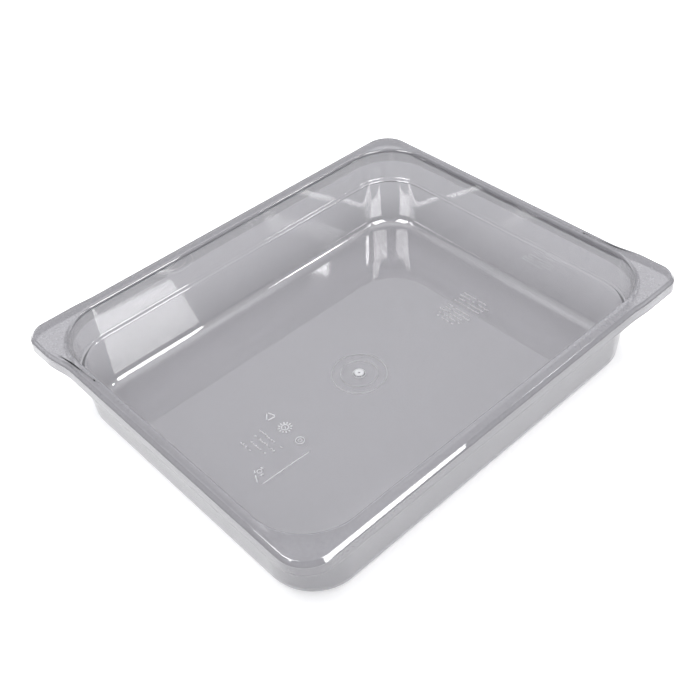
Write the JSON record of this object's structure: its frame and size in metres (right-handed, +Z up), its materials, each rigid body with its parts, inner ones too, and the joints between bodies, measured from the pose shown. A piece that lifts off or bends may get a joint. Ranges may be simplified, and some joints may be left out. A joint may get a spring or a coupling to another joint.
{
  "type": "deli food pan",
  "caption": "Shallow clear plastic half-size food pan with a down-turned rim, small ears at two opposite corners, a stacking ledge in the wall and a flat floor.",
  "frame": {"origin": "middle of the underside, on the surface the pan stands on", "axes": "+X along the long side, +Y along the short side, +Z up out of the open mouth"},
  "size_m": [0.325, 0.265, 0.065],
  "materials": {
    "clear_plastic": "clear glossy moulded polycarbonate, faintly grey"
  },
  "bodies": {
    "root": {"pan": "clear_plastic"}
  },
  "joints": []
}
